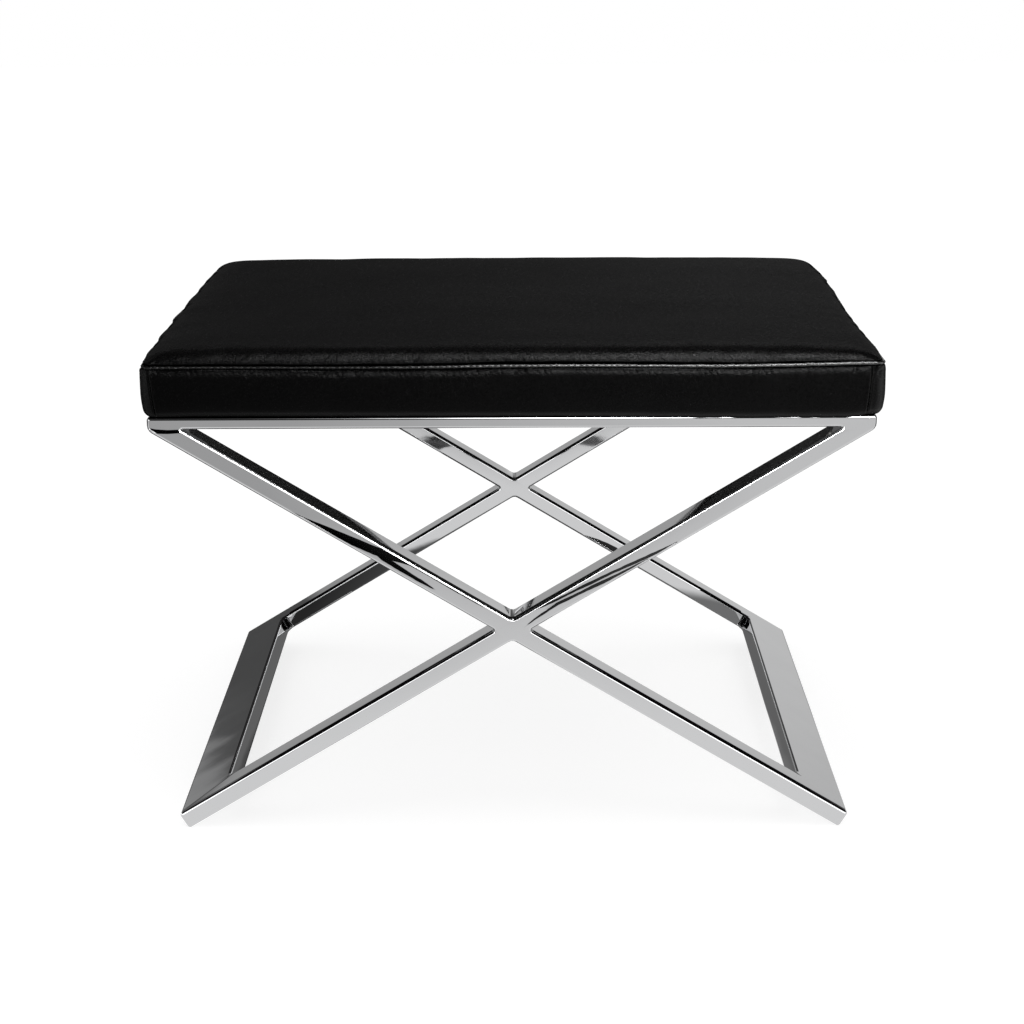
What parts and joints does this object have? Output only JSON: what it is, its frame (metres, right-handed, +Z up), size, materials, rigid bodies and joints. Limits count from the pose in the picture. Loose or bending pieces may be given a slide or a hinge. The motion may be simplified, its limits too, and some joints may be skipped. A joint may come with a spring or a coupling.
{
  "type": "x frame stool",
  "caption": "Low stool with welded X frames of polished tube, wide flat floor rails and a box-edged leather seat.",
  "frame": {"origin": "on the floor, under the middle of the stool", "axes": "+Z up, +X along the long side of the seat to the right, +Y from the front X frame to the back one"},
  "size_m": [0.6398, 0.5154, 0.4412],
  "materials": {
    "frame_steel": "polished",
    "fixing_zinc": "satin",
    "seat_leather": "satin",
    "seat_foam": "matte",
    "seat_plywood": "matte",
    "dust_cover_cloth": "matte"
  },
  "bodies": {
    "root": {"front_long_leg": "frame_steel", "front_upper_half_leg": "frame_steel", "front_lower_half_leg": "frame_steel", "front_top_rail": "frame_steel", "back_long_leg": "frame_steel", "back_upper_half_leg": "frame_steel", "back_lower_half_leg": "frame_steel", "back_top_rail": "frame_steel", "left_floor_rail": "frame_steel", "right_floor_rail": "frame_steel", "left_side_rail": "frame_steel", "right_side_rail": "frame_steel", "front_left_tab": "frame_steel", "front_right_tab": "frame_steel", "back_left_tab": "frame_steel", "back_right_tab": "frame_steel", "front_left_screw": "fixing_zinc", "front_right_screw": "fixing_zinc", "back_left_screw": "fixing_zinc", "back_right_screw": "fixing_zinc", "front_left_washer": "fixing_zinc", "front_right_washer": "fixing_zinc", "back_left_washer": "fixing_zinc", "back_right_washer": "fixing_zinc", "front_left_tee_nut": "fixing_zinc", "front_right_tee_nut": "fixing_zinc", "back_left_tee_nut": "fixing_zinc", "back_right_tee_nut": "fixing_zinc", "seat_board": "seat_plywood", "foam_block": "seat_foam", "top_panel": "seat_leather", "front_band": "seat_leather", "back_band": "seat_leather", "left_band": "seat_leather", "right_band": "seat_leather", "dust_cover": "dust_cover_cloth"}
  },
  "joints": []
}
